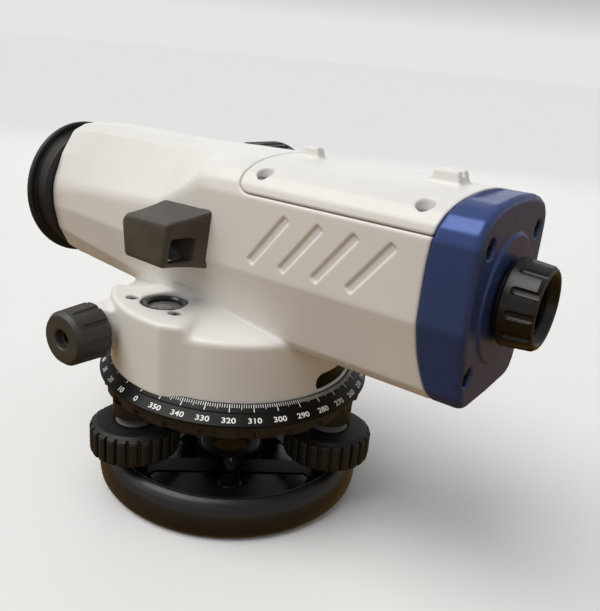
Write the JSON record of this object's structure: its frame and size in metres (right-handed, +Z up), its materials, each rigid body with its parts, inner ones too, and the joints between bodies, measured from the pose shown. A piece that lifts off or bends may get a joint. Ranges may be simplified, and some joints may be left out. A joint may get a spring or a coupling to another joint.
{
  "type": "automatic level",
  "caption": "Surveyor's automatic level: short telescope on a drum with a graduated circle, side prism over a round vial, tangent and focus knobs, and a three-screw base.",
  "frame": {"origin": "mouth of the tripod thread, on the vertical axis, in the plane of the base's underside", "axes": "+X along the line of sight towards the objective, +Y to the observer's left, +Z up"},
  "size_m": [0.2143, 0.128, 0.1406],
  "materials": {
    "white_enamel": "off-white, fine satin paint on cast aluminium",
    "blue_cover": "dark blue, satin moulding",
    "black_plastic": "black, fine matte grain",
    "black_base": "black satin paint on cast aluminium",
    "dark_anodised": "black anodised",
    "grey_collar": "light grey, matte",
    "steel": "turned steel",
    "brass": "turned brass",
    "optical_glass": "polished glass"
  },
  "bodies": {
    "base": {"base_plate": "black_base", "spring_plate": "steel", "spring_plate_screws": "steel", "foot_ball_a": "steel"},
    "tilt_link_b": {"foot_ball_b": "steel"},
    "tilt_link_c": {"foot_ball_c": "steel"},
    "tribrach": {"tribrach": "black_base", "foot_screw_bushes": "brass", "spindle_sleeve": "brass", "clutch_washer": "steel"},
    "circle": {"horizontal_circle": "black_plastic"},
    "clutch": {"worm_wheel": "brass"},
    "upper": {"housing": "white_enamel", "spindle": "steel", "top_cover": "white_enamel", "top_cover_screws": "steel", "end_cover": "blue_cover", "end_cover_screws": "steel", "objective_hood": "black_plastic", "objective_cell": "dark_anodised", "objective_front_lens": "optical_glass", "objective_rear_lens": "optical_glass", "vial_case": "black_plastic", "vial_glass": "optical_glass", "vial_adjusting_screws": "steel", "prism_housing": "black_plastic", "viewing_prism": "optical_glass", "circle_window": "optical_glass", "tangent_bushes": "brass", "focus_bush": "brass", "compensator_frame": "dark_anodised", "suspension_wires": "steel", "reticle": "optical_glass", "eyepiece_sleeve": "dark_anodised"},
    "tangent_screw": {"tangent_shaft": "steel", "tangent_knob_left": "black_plastic", "tangent_knob_right": "black_plastic"},
    "focus_drive": {"focus_knob": "black_plastic", "focus_shaft": "steel"},
    "focus_carriage": {"focus_lens_cell": "dark_anodised", "focus_lens": "optical_glass"},
    "compensator_pendulum": {"pendulum": "brass", "pendulum_prism": "optical_glass"},
    "diopter_ring": {"eyepiece_ring": "black_plastic"},
    "eyepiece_barrel": {"eye_lens_barrel": "dark_anodised", "eye_lens": "optical_glass"},
    "foot_seat_a": {"foot_tip_a": "dark_anodised"},
    "foot_screw_a": {"foot_screw_a": "steel", "foot_knob_a": "black_plastic", "foot_collar_a": "grey_collar"},
    "foot_seat_b": {"foot_tip_b": "dark_anodised"},
    "foot_screw_b": {"foot_screw_b": "steel", "foot_knob_b": "black_plastic", "foot_collar_b": "grey_collar"},
    "foot_seat_c": {"foot_tip_c": "dark_anodised"},
    "foot_screw_c": {"foot_screw_c": "steel", "foot_knob_c": "black_plastic", "foot_collar_c": "grey_collar"}
  },
  "joints": [
    {"name": "tilt_a", "type": "hinge", "parent": "base", "child": "tilt_link_b", "pos_m": [-0.00708, -0.02056, 0.0085], "axis": [0.9455, -0.3256, 0], "range_deg": [-1.34, 1.34]},
    {"name": "tilt_b", "type": "hinge", "parent": "tilt_link_b", "child": "tilt_link_c", "pos_m": [0.02135, 0.00415, 0.0085], "axis": [-0.1908, 0.9816, 0], "range_deg": [-1.34, 1.34]},
    {"name": "tilt_c", "type": "hinge", "parent": "tilt_link_c", "child": "tribrach", "pos_m": [-0.01427, 0.01641, 0.0085], "axis": [-0.7547, -0.6561, 0], "range_deg": [-1.34, 1.34]},
    {"name": "foot_slide_a", "type": "slide", "parent": "tribrach", "child": "foot_seat_a", "axis": [0, 0, 1], "range_m": [-0.0015, 0.0015]},
    {"name": "foot_turn_a", "type": "hinge", "parent": "foot_seat_a", "child": "foot_screw_a", "pos_m": [0.01416, 0.04113, 0.03], "axis": [0, 0, 1], "range_deg": [-730, 730]},
    {"name": "foot_slide_b", "type": "slide", "parent": "tribrach", "child": "foot_seat_b", "axis": [0, 0, 1], "range_m": [-0.0015, 0.0015]},
    {"name": "foot_turn_b", "type": "hinge", "parent": "foot_seat_b", "child": "foot_screw_b", "pos_m": [-0.0427, -0.0083, 0.03], "axis": [0, 0, 1], "range_deg": [-730, 730]},
    {"name": "foot_slide_c", "type": "slide", "parent": "tribrach", "child": "foot_seat_c", "axis": [0, 0, 1], "range_m": [-0.0015, 0.0015]},
    {"name": "foot_turn_c", "type": "hinge", "parent": "foot_seat_c", "child": "foot_screw_c", "pos_m": [0.02854, -0.03283, 0.03], "axis": [0, 0, 1], "range_deg": [-730, 730]},
    {"name": "circle_turn", "type": "hinge", "parent": "tribrach", "child": "circle", "pos_m": [0, 0, 0.044], "axis": [0, 0, 1], "continuous": true},
    {"name": "clutch_slip", "type": "hinge", "parent": "tribrach", "child": "clutch", "pos_m": [0, 0, 0.0675], "axis": [0, 0, 1], "continuous": true},
    {"name": "fine_azimuth", "type": "hinge", "parent": "clutch", "child": "upper", "pos_m": [0, 0, 0.0675], "axis": [0, 0, 1], "continuous": true},
    {"name": "tangent_turn", "type": "hinge", "parent": "upper", "child": "tangent_screw", "pos_m": [0.0275, 0, 0.0675], "axis": [0, 1, 0], "continuous": true},
    {"name": "focus_turn", "type": "hinge", "parent": "upper", "child": "focus_drive", "pos_m": [0.024, -0.026, 0.1115], "axis": [0, 1, 0], "range_deg": [-205, 205]},
    {"name": "focus_slide", "type": "slide", "parent": "upper", "child": "focus_carriage", "axis": [1, 0, 0], "range_m": [-0.007, 0.007]},
    {"name": "compensator_swing", "type": "hinge", "parent": "upper", "child": "compensator_pendulum", "pos_m": [-0.045, 0, 0.124], "axis": [0, 1, 0], "range_deg": [-0.75, 0.75]},
    {"name": "eyepiece_turn", "type": "hinge", "parent": "upper", "child": "diopter_ring", "pos_m": [-0.11, 0, 0.1042], "axis": [1, 0, 0], "range_deg": [-154, 154]},
    {"name": "eyepiece_slide", "type": "slide", "parent": "upper", "child": "eyepiece_barrel", "axis": [1, 0, 0], "range_m": [-0.0005, 0.0005]}
  ],
  "couplings": [
    {"joint": "foot_turn_a", "follows": "foot_slide_a", "rad_per_m": 8377.6},
    {"joint": "tilt_a", "follows": "foot_slide_a", "rad_per_m": -15.326},
    {"joint": "foot_turn_b", "follows": "foot_slide_b", "rad_per_m": 8377.6},
    {"joint": "tilt_b", "follows": "foot_slide_b", "rad_per_m": -15.326},
    {"joint": "foot_turn_c", "follows": "foot_slide_c", "rad_per_m": 8377.6},
    {"joint": "tilt_c", "follows": "foot_slide_c", "rad_per_m": -15.326},
    {"joint": "tangent_turn", "follows": "fine_azimuth", "ratio": 90},
    {"joint": "focus_turn", "follows": "focus_slide", "rad_per_m": -500},
    {"joint": "eyepiece_turn", "follows": "eyepiece_slide", "rad_per_m": 5236}
  ]
}
